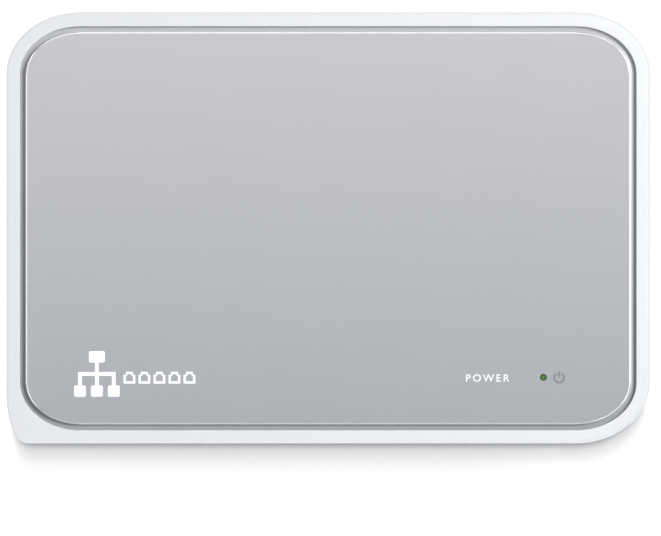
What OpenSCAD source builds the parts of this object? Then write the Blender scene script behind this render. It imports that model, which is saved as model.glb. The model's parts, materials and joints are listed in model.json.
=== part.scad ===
// Desktop network switch: a plastic box with five sockets and a power inlet in its front wall.
// X runs to the right seen from the socket side, Y to the back and Z up.
// The origin is the centre of the footprint, on the plane that the rubber feet stand on.

/* [Body] */
// Width over both side walls
body_w = 103.5; // [103.5:0.5:112]
// Depth from the socket wall to the back wall
body_d = 69.5; // [69.5:0.5:80]
// Height from the standing plane to the raised field of the top
body_h = 22; // [22:0.5:26]
// Thickness of the side walls
wall = 1.8; // [1.5:0.1:2]
// Thickness of the floor
floor_t = 1.8; // [1.5:0.1:2]
// Height of the joint line between the two shells
parting_z = 8; // [7.5:0.1:9]
// Lean of the side walls from the joint line to the top edge
draft = 0.2; // [0:0.05:0.3]
// Radius of the top outer edge
top_edge_r = 0.45; // [0.3:0.05:0.6]
// Radius of the bottom outer edge
bottom_edge_r = 2.5; // [1.5:0.1:2.5]

/* [Corners] */
// Half length of a soft corner across the width
corner_rx = 12.1; // [10:0.1:14]
// Half length of a soft corner across the depth
corner_ry = 10.1; // [9:0.1:12]
// Radius of the side wall where it runs into the corner beside the power inlet
inlet_side_r = 16.7; // [14:0.1:20]
// Height of that bend's start above the socket wall
inlet_side_start = 8; // [7:0.1:10]
// Radius of the tight corner beside the power inlet
inlet_tip_r = 3; // [2.8:0.1:4]

/* [Top panel] */
// Width of the white rim around the panel
rim_w = 2.45; // [1.8:0.05:2.6]
// How far the rim lies below the raised field
rim_drop = 0.25; // [0:0.05:0.3]
// Width of the groove around the raised field
groove_w = 0.9; // [0.8:0.1:1.5]
// Depth of the groove
groove_depth = 0.8; // [0.5:0.1:1]
// Width of the slope at the foot of the raised field
groove_root = 0.3; // [0.1:0.05:0.4]
// How far the panel sits off centre across the depth, towards the sockets
panel_shift = 0.1; // [0:0.05:0.2]
// Thickness of the panel at its raised field
panel_t = 1.6; // [1.5:0.1:2]
// Width of the cut edge around the raised field
panel_edge_w = 0.24; // [0.16:0.02:0.4]
// Slope of that cut edge
panel_edge_tilt = 32; // [20:1:45]

/* [Sockets] */
// Number of sockets
port_count = 5; // [5:1:5]
// Distance between socket centres
port_pitch = 13.9; // [13.7:0.1:14]
// Centre of the socket row, across the width
ports_x = -2.9; // [-3.2:0.1:-2.9]
// Clear width of a socket
socket_w = 11.8; // [11.7:0.1:12]
// Clear height of a socket below its latch notch
socket_h = 6.8; // [6.7:0.1:7]
// Depth of a socket
socket_depth = 12.6; // [12:0.1:13]

/* [Power inlet] */
// Centre of the power inlet, across the width
inlet_x = -43.6; // [-43.8:0.1:-43.5]
// Width of the inlet block
inlet_w = 7.4; // [7:0.1:7.4]
// Radius of the inlet's contact pin
inlet_pin_r = 0.65; // [0.5:0.05:0.8]
// Radius of the round inlet hole
inlet_hole_r = 2.05; // [2:0.05:2.3]

/* [Base] */
// Distance between the two hanging holes
keyhole_spacing = 56; // [48:1:60]
// Radius of the screw head's entry hole
keyhole_r = 3.6; // [3.2:0.1:4]
// Width of the slot that grips the screw's neck
keyhole_slot_w = 4; // [3.5:0.1:4]
// Radius of a rubber foot
foot_r = 4; // [3:0.1:4.2]

/* [Hidden] */
$fn = 48;

// Colours
white = "#f1f2f4";
panel_grey = "#bfc2c7";
black = "#1d1e20";
rubber = "#2c2d2f";
board_green = "#1f6b3a";
gold = "#d9b35a";
steel = "#b9bcc0";

// Body
half_w = body_w / 2;
half_d = body_d / 2;
slack = 0.05;            // gap between parts that fit closely
sliver = 0.01;           // thickness of a slice that only shapes a hull
poke = 1;                // how far a cutter runs past the face it cuts
base_z = 1;              // underside of the bottom shell
floor_z = base_z + floor_t;
reveal = 0.15;           // shadow gap along the joint line
panel_z = body_h - panel_t;
rim_z = body_h - rim_drop;
deck_t = 1.4;            // roof under the panel
deck_z = panel_z - deck_t;

// Lip that lines up the two shells
lip_gap = 0.15;
lip_t = 1;
lip_h = 1.5;
lip_root_z = parting_z - 1.8;

// Circuit board
board_t = 1.2;
board_z = floor_z + 1.6;
board_top = board_z + board_t;
board_inset = 3.3;       // from the body's outline to the board's edge
board_back = 16.5;
pin_drop = 1;            // how far soldered pins pass below the board

// Socket block
block_y = -half_d + 0.4;
block_w = port_count * port_pitch + 0.6;
block_d = 16;
block_h = 13;
block_back = block_y + block_d;
socket_z = board_top + 2.6;
notch_w = 6.3;
notch_h = 1.7;
latch_w = 3.6;
latch_h = 1;
window_gap = 0.25;

// Socket contacts
wires = 8;
wire_pitch = 1.02;
wire_r = 0.25;
wire_len = 8.6;
wire_rise = 19;          // slope of a wire at rest
bend_y = block_y + 2.2;
bend_z = socket_z + 0.55;
tail_w = 0.4;
tail_z = board_top + 1;
tail_row_y = -29;
tail_row_step = 2;
tail_slot_w = 8.4;
tail_hole_r = 0.4;

// Socket lights
light_x = -4.95;         // from the socket's centre
light_w = 2.6;
light_h = 1.8;
light_len = 5;
light_z = socket_z + socket_h + 1.5;
lead_w = 0.5;
lead_split = 0.64;

// Power inlet
inlet_h = 9;
inlet_d = 11.5;
inlet_z = board_top + 4.9;
inlet_depth = 9;
inlet_pin_tip = 1.6;     // from the block's face back to the pin's end
inlet_base_r = 1;
inlet_pin_bevel = 0.25;
spring_w = 1.6;
spring_t = 0.3;
spring_y = block_y + 9.9;
spring_z = inlet_z - 2.4;
spring_len = 7;
terminal_w = 1.4;
terminal_t = 0.4;
terminal_hole_r = 0.8;

// Screws
case_screw = [45.5, 2];
case_boss_r = 3;
case_boss_hole = 9;      // depth of the hole in the boss
case_seat_r = 3.8;
case_seat_z = floor_z + 0.8;
case_screw_r = 1.2;
case_head_r = 2.4;
case_head_h = 1.3;
case_head_z = base_z + 0.1;
board_screw = [41, 12];
board_screw_r = 1;
board_boss_r = 3;
board_pad = [30, -24];   // plain supports under the front of the board
board_pad_r = 2;

// Feet, label, vents and hanging holes
foot_at = [41, 25];
foot_t = 1.6;
foot_recess = 0.6;
foot_gap = 0.2;
label_size = [46, 22];
label_y = -4;
label_t = 0.2;
label_recess = 0.3;
vent_w = 1.6;
vent_len = 18;
vent_pitch = 3.5;
vent_count = 4;
rear_vents = 11;
rear_vent_pitch = 4.5;
rear_vent_z = 11;
rear_vent_h = 5;
vent_inner_x = 28;       // innermost floor vent, from the middle
keyhole_y = 21.5;
keyhole_travel = 6;

// Power light
light_at = [34.4, -23.95];
pipe_r = 1.2;
pipe_tip_r = 0.5;
pipe_sleeve_r = 2.1;
pipe_sleeve_z = 12;
pipe_foot_z = board_top + 1.5;

// Melted pegs that hold the panel
peg_r = 1;
peg_gap = 0.15;
peg_head_r = 1.8;
peg_head_h = 0.6;
peg_places = [[43, 25], [-43, 25], [43, -25], [-43, -25], [0, 25], [0, -12]];

// Board components
quad_at = [8, -10.6];
quad_size = [28, 9.7, 5.5];
single_at = [-23, -10.6];
single_size = [12.7, 9.7, 5.5];
chip_at = [4, 5.5];
chip_size = [14, 14, 1.4];
crystal_at = [-11, 6];
regulator_at = [-28, -0.5];
diode_at = [-41, -14];
inductor_at = [-36, 2];
input_cap_at = [-36.5, -8];
output_cap_at = [-27.5, 8.5];
capacitor_r = 3.15;
body_lift = 0.1;         // gap under a flat chip's body
transformer_lift = 0.3;
lead_t = 0.2;
regulator_size = [4.9, 3.9, 1.4];
diode_size = [4.3, 2.6, 2];
crystal_base_size = [4.9, 11.6, 0.5];
crystal_can_r = 2;
crystal_can_run = 6.8;   // between the centres of the can's round ends
crystal_can_h = 3;
inductor_flange_r = 2.9;
inductor_flange_h = 0.9;
inductor_waist_r = 1.4;
inductor_h = 4.5;
small_part = [1.6, 0.8, 0.5];
small_pitch = [2.6, 2];

// ---------------------------------------------------------------- outlines

// Points along an elliptical arc; first = 1 leaves out the point shared with the arc before it
function arc_points(centre, rx, ry, from, to, steps, first = 0) = [
    for (i = [first:steps])
        let (a = from + (to - from) * i / steps)
        centre + [rx * cos(a), ry * sin(a)]
];

// A soft corner in the quadrant that side_x and side_y point to
function soft_corner(side_x, side_y, from, inset) = arc_points(
    [side_x * (half_w - corner_rx), side_y * (half_d - corner_ry)],
    corner_rx - inset, corner_ry - inset, from, from + 90, 10
);

// The squarer corner beside the power inlet: a gentle bend of the side wall, then a tight tip
function inlet_corner(inset) =
    let (
        tip_r = max(inlet_tip_r - inset, 0.4),
        side_r = inlet_side_r - inset,
        side_c = [-half_w + inlet_side_r, -half_d + inlet_side_start],
        rise = inlet_side_start - inset - tip_r,
        reach = side_r - tip_r,
        turn = asin(rise / reach),
        tip_c = side_c - [reach * cos(turn), rise]
    )
    concat(
        arc_points(side_c, side_r, side_r, 180, 180 + turn, 4),
        arc_points(tip_c, tip_r, tip_r, 180 + turn, 270, 6, 1)
    );

// The body's plan, moved inwards by inset
function body_outline(inset) = concat(
    soft_corner(1, 1, 0, inset),
    soft_corner(-1, 1, 90, inset),
    inlet_corner(inset),
    soft_corner(1, -1, 270, inset)
);

// The panel's plan, with four soft corners
function panel_outline(inset) =
    let (corners = concat(
        soft_corner(1, 1, 0, inset),
        soft_corner(-1, 1, 90, inset),
        soft_corner(-1, -1, 180, inset),
        soft_corner(1, -1, 270, inset)
    ))
    [for (at = corners) at - [0, panel_shift]];

function port_x(i) = ports_x + (i - (port_count - 1) / 2) * port_pitch;

// Distance of item i from the middle of a row
function row_x(i, count, pitch) = (i - (count - 1) / 2) * pitch;

// ---------------------------------------------------------------- helpers

module prism(z0, z1) {
    translate([0, 0, z0]) linear_extrude(z1 - z0) children();
}

module body_slice(z, inset) {
    translate([0, 0, z]) linear_extrude(sliver) polygon(body_outline(inset));
}

module panel_slice(z, inset) {
    translate([0, 0, z]) linear_extrude(sliver) polygon(panel_outline(inset));
}

module rod(at, r, z0, z1) {
    translate([at.x, at.y, z0]) cylinder(r = r, h = z1 - z0);
}

// A block centred on at, standing on z
module block_on(at, size, z) {
    translate([at.x - size.x / 2, at.y - size.y / 2, z]) cube(size);
}

module both_sides(at) {
    for (side = [-1, 1]) translate([side * at.x, at.y, 0]) children();
}

// A slot with round ends along Y
module slot(x, y, width, length, z0, z1) {
    straight = length - width;
    block_on([x, y], [width, straight, z1 - z0], z0);
    for (end = [-1, 1]) rod([x, y + end * straight / 2], width / 2, z0, z1);
}

// ---------------------------------------------------------------- casing

// The openings in the front wall for the socket block and the power inlet
module front_windows() {
    cut_y = -half_d - poke;
    cut_d = wall + lip_gap + lip_t + 2 * poke;
    bottom = board_top - window_gap;
    translate([ports_x - block_w / 2 - window_gap, cut_y, bottom])
        cube([block_w + 2 * window_gap, cut_d, block_h + 2 * window_gap]);
    translate([inlet_x - inlet_w / 2 - window_gap, cut_y, bottom])
        cube([inlet_w + 2 * window_gap, cut_d, inlet_h + 2 * window_gap]);
}

module top_shell_outside() {
    edge_z = rim_z - top_edge_r;
    hull() {
        body_slice(parting_z + reveal, 0);
        for (a = [0:30:60])
            body_slice(edge_z + top_edge_r * sin(a), draft + top_edge_r * (1 - cos(a)));
        body_slice(rim_z - sliver, draft + top_edge_r);
    }
}

module rear_vent_slots() {
    for (i = [0:rear_vents - 1])
        translate([row_x(i, rear_vents, rear_vent_pitch) - vent_w / 2, half_d - wall - poke, rear_vent_z])
            cube([vent_w, wall + 2 * poke, rear_vent_h]);
}

module top_shell() {
    color(white) difference() {
        union() {
            difference() {
                top_shell_outside();
                prism(0, deck_z) polygon(body_outline(wall));
                prism(panel_z, body_h + poke) polygon(panel_outline(rim_w));
            }
            both_sides(case_screw) rod([0, 0], case_boss_r, case_seat_z, deck_z + slack);
            rod(light_at, pipe_sleeve_r, pipe_sleeve_z, deck_z + slack);
        }
        both_sides(case_screw)
            rod([0, 0], case_screw_r + slack, case_seat_z - poke, case_seat_z + case_boss_hole);
        rod(light_at, pipe_r + slack, pipe_sleeve_z - poke, panel_z + poke);
        for (at = peg_places) rod(at, peg_r + peg_gap, deck_z - poke, panel_z + poke);
        front_windows();
        rear_vent_slots();
    }
}

module panel_pegs() {
    head_top = deck_z - slack;
    for (at = peg_places) {
        rod(at, peg_r, head_top - slack, panel_z + slack);
        rod(at, peg_head_r, head_top - peg_head_h, head_top);
    }
}

module top_panel() {
    field = rim_w + groove_w;
    edge_z = body_h - panel_edge_w * tan(panel_edge_tilt);
    groove_z = body_h - groove_depth;
    color(panel_grey) difference() {
        union() {
            prism(panel_z, groove_z) polygon(panel_outline(rim_w + slack));
            hull() {
                panel_slice(groove_z - slack, field - groove_root);
                panel_slice(groove_z + groove_root, field + slack);
            }
            hull() {
                panel_slice(panel_z, field);
                panel_slice(edge_z, field);
                panel_slice(body_h - sliver, field + panel_edge_w);
            }
            panel_pegs();
        }
        rod(light_at, pipe_tip_r + slack, panel_z - poke, body_h + poke);
    }
}

module bottom_shell_outside() {
    hull() {
        for (a = [0:15:75])
            body_slice(
                base_z + bottom_edge_r * (1 - sin(a)),
                bottom_edge_r * (1 - cos(a))
            );
        body_slice(base_z, bottom_edge_r);
        body_slice(parting_z - sliver, 0);
    }
}

// The raised lip inside the wall, with its root below the joint line
module alignment_lip() {
    outer = wall + lip_gap;
    difference() {
        union() {
            prism(lip_root_z, parting_z) polygon(body_outline(wall - slack));
            prism(parting_z - slack, parting_z + lip_h) polygon(body_outline(outer));
        }
        prism(lip_root_z - poke, parting_z + lip_h + poke) polygon(body_outline(outer + lip_t));
    }
}

module keyhole() {
    top = floor_z + poke;
    rod([0, 0], keyhole_r, base_z - poke, top);
    slot(0, keyhole_travel / 2, keyhole_slot_w, keyhole_travel + keyhole_slot_w, base_z - poke, top);
}

module floor_vents() {
    for (side = [-1, 1], i = [0:vent_count - 1])
        slot(
            side * (vent_inner_x + i * vent_pitch), label_y,
            vent_w, vent_len, base_z - poke, floor_z + poke
        );
}

module bottom_shell() {
    recess_r = foot_r + foot_gap;
    recess_top = base_z + foot_recess;
    head_room = case_head_z + case_head_h;
    color(white) difference() {
        union() {
            difference() {
                bottom_shell_outside();
                prism(floor_z, body_h) polygon(body_outline(wall));
            }
            alignment_lip();
            both_sides(case_screw) rod([0, 0], case_seat_r, floor_z - slack, case_seat_z);
            both_sides(board_screw) rod([0, 0], board_boss_r, floor_z - slack, board_z);
            both_sides(board_pad) rod([0, 0], board_pad_r, floor_z - slack, board_z);
        }
        both_sides(foot_at) rod([0, 0], recess_r, base_z - poke, recess_top);
        both_sides([foot_at.x, -foot_at.y]) rod([0, 0], recess_r, base_z - poke, recess_top);
        both_sides(case_screw) rod([0, 0], case_screw_r + 0.3, base_z, case_seat_z + poke);
        both_sides(case_screw) rod([0, 0], case_head_r + 0.3, base_z - poke, head_room);
        both_sides(board_screw) rod([0, 0], board_screw_r + slack, base_z + 0.8, board_z + poke);
        both_sides([keyhole_spacing / 2, keyhole_y]) keyhole();
        block_on([0, label_y], [label_size.x + 0.6, label_size.y + 0.6, label_recess + poke], base_z - poke);
        floor_vents();
        front_windows();
    }
}

module rating_label() {
    bottom = base_z + label_recess - label_t;
    color("#e4e6e8") block_on([0, label_y], [label_size.x, label_size.y, label_t], bottom);
}

module foot(side_x, side_y) {
    bevel = 0.3;
    color(rubber) translate([side_x * foot_at.x, side_y * foot_at.y, 0]) rotate_extrude()
        polygon([[0, 0], [foot_r - bevel, 0], [foot_r, bevel], [foot_r, foot_t], [0, foot_t]]);
}

// ---------------------------------------------------------------- screws

module cross_recess(size, depth, z) {
    for (turn = [0, 90])
        rotate(turn) block_on([0, 0], [size, size / 4, depth + poke], z - poke);
}

module case_screws() {
    length = 8;
    color(steel) both_sides(case_screw) difference() {
        union() {
            rod([0, 0], case_head_r, case_head_z, case_head_z + case_head_h);
            rod([0, 0], case_screw_r, case_head_z + case_head_h - slack, case_head_z + case_head_h + length);
        }
        cross_recess(2.6, 0.7, case_head_z);
    }
}

module board_screws() {
    head_h = 1.2;
    head_r = 2.3;
    color(steel) both_sides(board_screw) difference() {
        union() {
            rod([0, 0], head_r, board_top, board_top + head_h);
            rod([0, 0], board_screw_r, base_z + 1, board_top + slack);
        }
        translate([0, 0, board_top + head_h]) mirror([0, 0, 1]) cross_recess(2.4, 0.6, 0);
    }
}

// ---------------------------------------------------------------- board

function tail_y(k) = tail_row_y + (k % 2) * tail_row_step;

module circuit_board() {
    notch_x = case_screw.x - case_boss_r - 0.8;
    z0 = board_z - poke;
    z1 = board_top + poke;
    color(board_green) difference() {
        intersection() {
            prism(board_z, board_top) polygon(body_outline(board_inset));
            translate([-half_w, -half_d, board_z]) cube([body_w, half_d + board_back, board_t]);
        }
        for (side = [-1, 1])
            block_on([side * (notch_x + poke * 5), case_screw.y], [10, 8, z1 - z0], z0);
        both_sides(board_screw) rod([0, 0], board_screw_r + 0.15, z0, z1);
        for (i = [0:port_count - 1], k = [0:wires - 1])
            rod([port_x(i) + row_x(k, wires, wire_pitch), tail_y(k)], tail_hole_r, z0, z1, $fn = 16);
        for (y = [spring_y, block_y + inlet_d + terminal_t / 2])
            rod([inlet_x, y], terminal_hole_r, z0, z1);
    }
}

// ---------------------------------------------------------------- sockets

// The hollow of one socket, with the latch notches at its top
module socket_hollow() {
    deep = socket_depth + poke;
    y = block_y - poke;
    top = socket_z + socket_h;
    translate([-socket_w / 2, y, socket_z]) cube([socket_w, deep, socket_h]);
    translate([-notch_w / 2, y, top - slack]) cube([notch_w, deep, notch_h + slack]);
    translate([-latch_w / 2, y, top + notch_h - slack]) cube([latch_w, deep, latch_h + slack]);
}

// The pocket of one socket light and the channel for its leads
module light_pocket() {
    gap = 2 * slack;
    translate([light_x - light_w / 2 - gap, block_y - poke, light_z - light_h / 2 - gap])
        cube([light_w + 2 * gap, light_len + poke + gap, light_h + 2 * gap]);
    translate([light_x - 1, block_y + light_len, light_z - lead_w])
        cube([2, block_d, 2 * lead_w]);
}

// The space under one socket for its contacts' tails, open to the board
module tail_slot() {
    front = bend_y - 0.5;
    back = tail_row_y + tail_row_step + 0.6;
    translate([-tail_slot_w / 2, front, board_top - poke])
        cube([tail_slot_w, back - front, tail_z - board_top + 0.7 + poke]);
    translate([-tail_slot_w / 2, front, board_top])
        cube([tail_slot_w, 1, socket_z - board_top + poke]);
}

module jack_housing() {
    color(black) difference() {
        translate([ports_x - block_w / 2, block_y, board_top]) cube([block_w, block_d, block_h]);
        for (i = [0:port_count - 1]) translate([port_x(i), 0, 0]) {
            socket_hollow();
            light_pocket();
            tail_slot();
        }
    }
}

// One contact wire, from its bend up towards the back of the socket
module contact_wire() {
    rotate([-90 + wire_rise, 0, 0]) cylinder(r = wire_r, h = wire_len, $fn = 16);
    sphere(r = wire_r, $fn = 16);
}

module port_contacts(i) {
    color(gold) for (k = [0:wires - 1])
        translate([port_x(i) + row_x(k, wires, wire_pitch), bend_y, bend_z]) contact_wire();
}

// The soldered end of one contact: down from the bend, back under the socket, and through the board
module contact_tail(back_y) {
    top = bend_z - wire_r - 0.15;
    half = tail_w / 2;
    translate([-half, bend_y - half, tail_z - half]) cube([tail_w, tail_w, top - tail_z + half]);
    translate([-half, bend_y - half, tail_z - half]) cube([tail_w, back_y - bend_y + tail_w, tail_w]);
    translate([-half, back_y - half, board_z - pin_drop])
        cube([tail_w, tail_w, tail_z - board_z + pin_drop + half]);
}

module port_contact_tails() {
    color(gold) for (i = [0:port_count - 1], k = [0:wires - 1])
        translate([port_x(i) + row_x(k, wires, wire_pitch), 0, 0]) contact_tail(tail_y(k));
}

module port_led(i) {
    lead_y = block_back + 0.35;
    color("#4e8f4a") translate([port_x(i) + light_x, 0, 0]) {
        translate([-light_w / 2, block_y, light_z - light_h / 2]) cube([light_w, light_len, light_h]);
        for (side = [-1, 1]) translate([side * lead_split - lead_w / 2, 0, 0]) {
            translate([0, block_y + light_len - slack, light_z - lead_w / 2])
                cube([lead_w, lead_y + lead_w - block_y - light_len + slack, lead_w]);
            translate([0, lead_y, board_top]) cube([lead_w, lead_w, light_z + lead_w / 2 - board_top]);
        }
    }
}

// ---------------------------------------------------------------- power inlet

module dc_jack_housing() {
    color(black) difference() {
        translate([inlet_x - inlet_w / 2, block_y, board_top]) cube([inlet_w, inlet_d, inlet_h]);
        translate([inlet_x, block_y - poke, inlet_z]) rotate([-90, 0, 0])
            cylinder(r = inlet_hole_r, h = inlet_depth + poke);
        translate([inlet_x, block_y, inlet_z]) rotate([-90, 0, 0])
            cylinder(r = inlet_base_r + slack, h = inlet_d + poke);
        translate([inlet_x - spring_w / 2 - 0.3, block_y + 2, spring_z - 1.1])
            cube([spring_w + 0.6, inlet_d, inlet_z - spring_z - 0.5]);
        translate([inlet_x - spring_w / 2 - 0.3, spring_y - 0.6, board_top - poke])
            cube([spring_w + 0.6, 1.2, spring_z - board_top + poke]);
    }
}

// The contact pin in the middle of the inlet, drawn from its thick base outwards
module dc_jack_pin() {
    step = inlet_d - inlet_depth;
    tip = inlet_d - inlet_pin_tip;
    color(steel) translate([inlet_x, block_y + inlet_d, inlet_z]) rotate([90, 0, 0]) rotate_extrude()
        polygon([
            [0, 0], [inlet_base_r, 0], [inlet_base_r, step], [inlet_pin_r, step],
            [inlet_pin_r, tip - inlet_pin_bevel], [inlet_pin_r - inlet_pin_bevel, tip], [0, tip]
        ]);
}

// The bent leaf that presses on the plug's sleeve, drawn along -Y from its root
module dc_jack_spring() {
    crest = 4.8;
    crest_h = 0.95;
    tip_h = 0.4;
    color(gold) translate([inlet_x - spring_w / 2, spring_y, spring_z]) rotate([90, 0, 90])
        linear_extrude(spring_w) polygon([
            [0, 0],
            [-crest, crest_h],
            [-spring_len, tip_h],
            [-spring_len, tip_h - spring_t],
            [-crest, crest_h - spring_t],
            [0, -spring_t]
        ]);
}

// Soldered tabs of the pin and of the spring
module dc_jack_terminals() {
    bottom = board_z - pin_drop;
    back_y = block_y + inlet_d;
    color(steel) {
        translate([inlet_x - terminal_w / 2, back_y, bottom])
            cube([terminal_w, terminal_t, inlet_z + inlet_base_r - bottom]);
        translate([inlet_x - terminal_w / 2, spring_y - terminal_t / 2, bottom])
            cube([terminal_w, terminal_t, spring_z - spring_t - 0.3 - bottom]);
    }
}

// ---------------------------------------------------------------- board components

// One gull-wing lead that leaves a body's side towards +X and stands on the board
module gull_lead(width, reach, knee_z) {
    t = lead_t;
    knee = reach * 0.4;
    translate([0, width / 2, board_top]) rotate([90, 0, 0]) linear_extrude(width) polygon([
        [0, knee_z], [knee, knee_z], [knee + t, t], [reach, t],
        [reach, 0], [knee, 0], [knee - t, knee_z - t], [0, knee_z - t]
    ]);
}

// Leads along both long sides of a body that lies along X
module lead_rows(at, size, count, pitch, width, reach, knee_z) {
    color(steel) for (side = [-1, 1], i = [0:count - 1])
        translate([at.x + row_x(i, count, pitch), at.y + side * size.y / 2, 0])
            rotate(side * 90) gull_lead(width, reach, knee_z);
}

module quad_transformer() {
    color(black) block_on(quad_at, quad_size - [0, 0, transformer_lift], board_top + transformer_lift);
}

module quad_transformer_leads() {
    lead_rows(quad_at, quad_size, 20, 1.27, 0.45, 1.35, 1.6);
}

module single_transformer() {
    color(black) block_on(single_at, single_size - [0, 0, transformer_lift], board_top + transformer_lift);
}

module single_transformer_leads() {
    lead_rows(single_at, single_size, 8, 1.27, 0.45, 1.35, 1.6);
}

module switch_chip() {
    color(black) block_on(chip_at, chip_size, board_top + body_lift);
}

module switch_chip_leads() {
    for (turn = [0, 90])
        translate([chip_at.x, chip_at.y, 0]) rotate(turn)
            lead_rows([0, 0], chip_size, 16, 0.8, 0.35, 1, 0.9);
}

module crystal_base() {
    color(steel) block_on(crystal_at, crystal_base_size, board_top);
}

module crystal_can() {
    bottom = board_top + crystal_base_size.z;
    color(steel) hull()
        for (end = [-1, 1])
            rod(
                [crystal_at.x, crystal_at.y + end * crystal_can_run / 2],
                crystal_can_r, bottom, bottom + crystal_can_h, $fn = 32
            );
}

// An electrolytic can with a crimped groove near its foot
module capacitor(at, height) {
    groove = 0.3;
    color("#2b3a55") translate([at.x, at.y, board_top]) rotate_extrude() polygon([
        [0, 0], [capacitor_r, 0], [capacitor_r, 1.2], [capacitor_r - groove, 1.5],
        [capacitor_r, 1.8], [capacitor_r, height - groove], [capacitor_r - groove, height], [0, height]
    ]);
}

module input_capacitor() {
    capacitor(input_cap_at, 11);
}

module output_capacitor() {
    capacitor(output_cap_at, 8);
}

// A drum core: two flanges on a narrow waist
module inductor_core() {
    flange_r = inductor_flange_r;
    flange_h = inductor_flange_h;
    waist_r = inductor_waist_r;
    height = inductor_h;
    color("#3a3b3d") translate([inductor_at.x, inductor_at.y, board_top]) rotate_extrude() polygon([
        [0, 0], [flange_r, 0], [flange_r, flange_h], [waist_r, flange_h],
        [waist_r, height - flange_h], [flange_r, height - flange_h], [flange_r, height], [0, height]
    ]);
}

module inductor_winding() {
    bottom = board_top + inductor_flange_h + slack;
    top = board_top + inductor_h - inductor_flange_h - slack;
    color("#b5622d") difference() {
        rod(inductor_at, inductor_flange_r - 0.3, bottom, top);
        rod(inductor_at, inductor_waist_r + slack, board_top, top + poke);
    }
}

module regulator_chip() {
    color(black) block_on(regulator_at, regulator_size, board_top + body_lift);
}

module regulator_leads() {
    lead_rows(regulator_at, regulator_size, 4, 1.27, 0.42, 1, 0.9);
}

module protection_diode() {
    color(black) block_on(diode_at, diode_size, board_top + lead_t);
}

// Flat tabs folded in under the diode's two ends
module protection_diode_leads() {
    tab = [0.9, 1.4, lead_t];
    color(steel) for (side = [-1, 1])
        block_on(diode_at + [side * (diode_size.x - tab.x) / 2, 0], tab, board_top);
}

// A grid of small blocks from its corner at x, y
module small_parts(x, y, columns, rows) {
    for (i = [0:columns - 1], j = [0:rows - 1])
        block_on([x + i * small_pitch.x, y + j * small_pitch.y], small_part, board_top);
}

module chip_resistors() {
    color("#26282b") {
        small_parts(17, 0, 4, 3);
        small_parts(37.5, -26, 1, 3);
    }
}

module chip_capacitors() {
    color("#a58a63") {
        small_parts(17, 7, 4, 3);
        small_parts(-20, 10, 2, 2);
    }
}

module power_led() {
    color("#e9efe4") block_on(light_at, [2, 1.4, 0.9], board_top);
}

// Carries the light from the board up to the panel's face
module power_light_pipe() {
    color("#d7dfd9") {
        rod(light_at, pipe_r, pipe_foot_z, panel_z - slack);
        rod(light_at, pipe_tip_r, panel_z - 2 * slack, body_h - sliver);
    }
}

// ---------------------------------------------------------------- nodes

top_shell();
top_panel();
bottom_shell();
power_light_pipe();
rating_label();
foot(-1, -1);  // foot_front_left
foot(1, -1);  // foot_front_right
foot(-1, 1);  // foot_rear_left
foot(1, 1);  // foot_rear_right
case_screws();
board_screws();
circuit_board();
jack_housing();
port_contacts(0);  // port_1_contacts
port_contacts(1);  // port_2_contacts
port_contacts(2);  // port_3_contacts
port_contacts(3);  // port_4_contacts
port_contacts(4);  // port_5_contacts
port_contact_tails();
port_led(0);  // port_1_led
port_led(1);  // port_2_led
port_led(2);  // port_3_led
port_led(3);  // port_4_led
port_led(4);  // port_5_led
dc_jack_housing();
dc_jack_pin();
dc_jack_spring();
dc_jack_terminals();
switch_chip();
switch_chip_leads();
quad_transformer();
quad_transformer_leads();
single_transformer();
single_transformer_leads();
crystal_can();
crystal_base();
input_capacitor();
output_capacitor();
inductor_core();
inductor_winding();
regulator_chip();
regulator_leads();
protection_diode();
protection_diode_leads();
chip_resistors();
chip_capacitors();
power_led();
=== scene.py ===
# Looks of the desktop network switch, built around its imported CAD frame.
# Lengths are in metres. +X is right, +Y is the back and +Z is up; the sockets face -Y.
import json
import math

import bmesh
import bpy
from mathutils import Matrix, Vector


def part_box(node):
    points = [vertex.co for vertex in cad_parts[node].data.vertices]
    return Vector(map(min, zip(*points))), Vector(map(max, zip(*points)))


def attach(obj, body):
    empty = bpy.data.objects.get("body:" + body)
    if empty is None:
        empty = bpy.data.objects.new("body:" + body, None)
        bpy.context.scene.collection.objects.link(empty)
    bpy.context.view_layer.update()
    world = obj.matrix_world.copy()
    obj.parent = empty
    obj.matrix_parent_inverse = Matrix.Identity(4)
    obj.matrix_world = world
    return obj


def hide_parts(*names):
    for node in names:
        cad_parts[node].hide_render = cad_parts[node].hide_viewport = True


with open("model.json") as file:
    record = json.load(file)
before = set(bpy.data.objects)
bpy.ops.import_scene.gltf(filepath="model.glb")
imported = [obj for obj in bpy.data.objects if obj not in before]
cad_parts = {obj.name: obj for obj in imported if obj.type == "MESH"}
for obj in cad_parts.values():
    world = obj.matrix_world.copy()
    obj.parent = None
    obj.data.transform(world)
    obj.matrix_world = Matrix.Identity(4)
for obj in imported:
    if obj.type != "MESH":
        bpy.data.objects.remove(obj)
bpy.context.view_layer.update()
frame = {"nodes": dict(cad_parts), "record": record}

# ------------------------------------------------------------------ sizes

MM = 0.001
BODY = "switch_body"
PORTS = 5
FEET = [f"foot_{end}_{side}" for end in ("front", "rear") for side in ("left", "right")]

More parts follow.
